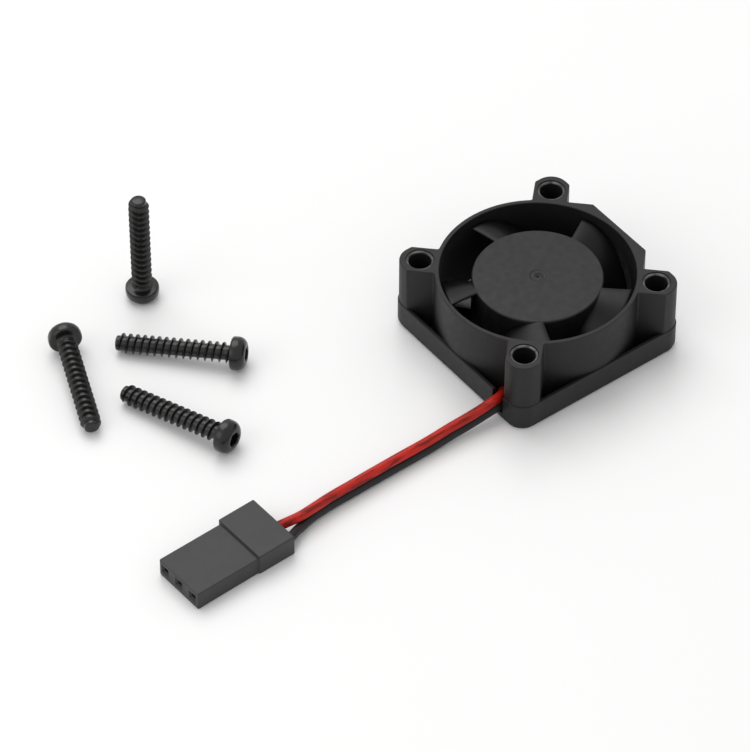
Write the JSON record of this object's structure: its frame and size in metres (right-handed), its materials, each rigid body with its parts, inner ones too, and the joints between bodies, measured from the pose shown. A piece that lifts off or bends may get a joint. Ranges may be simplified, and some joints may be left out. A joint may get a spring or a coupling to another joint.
{
  "type": "small axial cooling fan with lead and screws",
  "caption": "Square moulded axial fan with a two-wire lead, a flat three-way plug and loose tapping screws, used to cool a speed controller.",
  "frame": {"origin": "where the fan's axis meets its flat underside", "axes": "+Z along the fan's axis from the underside to the open intake side, +X towards the straight side wall, -X towards the side where the lead leaves"},
  "size_m": [0.0715, 0.048, 0.016],
  "materials": {
    "housing_plastic": "black moulded plastic, fine satin texture",
    "impeller_plastic": "black moulded plastic, satin",
    "plug_plastic": "black moulded plastic, slightly glossy",
    "red_insulation": "soft glossy insulation",
    "black_insulation": "soft glossy insulation",
    "black_oxide_steel": "black oxide, lightly oiled",
    "steel": "bright steel",
    "brass": "bright brass",
    "sintered_bronze": "dull oily bronze",
    "bonded_magnet": "dull dark brown",
    "copper_winding": "enamelled wire",
    "natural_nylon": "milky natural plastic",
    "board_green": "solder mask over glass laminate",
    "chip_black": "moulded epoxy",
    "ceramic_tan": "fired ceramic",
    "grey_film": "plain grey adhesive film"
  },
  "bodies": {
    "fan_frame": {"housing": "housing_plastic", "base_seal": "grey_film", "bearing_tube": "brass", "sleeve_bearing": "sintered_bronze", "thrust_pad": "natural_nylon", "retaining_ring": "natural_nylon", "stator_core": "steel", "lower_insulator": "natural_nylon", "upper_insulator": "natural_nylon", "circuit_board": "board_green", "coil_1": "copper_winding", "coil_2": "copper_winding", "coil_3": "copper_winding", "coil_4": "copper_winding", "drive_chip": "chip_black", "chip_capacitor": "ceramic_tan", "wire_red": "red_insulation", "wire_black": "black_insulation", "plug_housing": "plug_plastic", "contact_positive": "brass", "contact_negative": "brass"},
    "rotor": {"impeller": "impeller_plastic", "rotor_yoke": "steel", "magnet_ring": "bonded_magnet", "shaft": "steel", "oil_washer": "natural_nylon"},
    "screw_1": {"mounting_screw_1": "black_oxide_steel"},
    "screw_2": {"mounting_screw_2": "black_oxide_steel"},
    "screw_3": {"mounting_screw_3": "black_oxide_steel"},
    "screw_4": {"mounting_screw_4": "black_oxide_steel"}
  },
  "joints": [
    {"name": "rotor_spin", "type": "hinge", "parent": "fan_frame", "child": "rotor", "pos_m": [0, 0, 0.005], "axis": [0, 0, 1], "continuous": true},
    {"name": "screw_1_lift", "type": "slide", "parent": "fan_frame", "child": "screw_1", "axis": [0, 0, 1], "range_m": [0, 0.03]},
    {"name": "screw_2_lift", "type": "slide", "parent": "fan_frame", "child": "screw_2", "axis": [0, 0, 1], "range_m": [0, 0.03]},
    {"name": "screw_3_lift", "type": "slide", "parent": "fan_frame", "child": "screw_3", "axis": [0, 0, 1], "range_m": [0, 0.03]},
    {"name": "screw_4_lift", "type": "slide", "parent": "fan_frame", "child": "screw_4", "axis": [0, 0, 1], "range_m": [0, 0.03]}
  ]
}
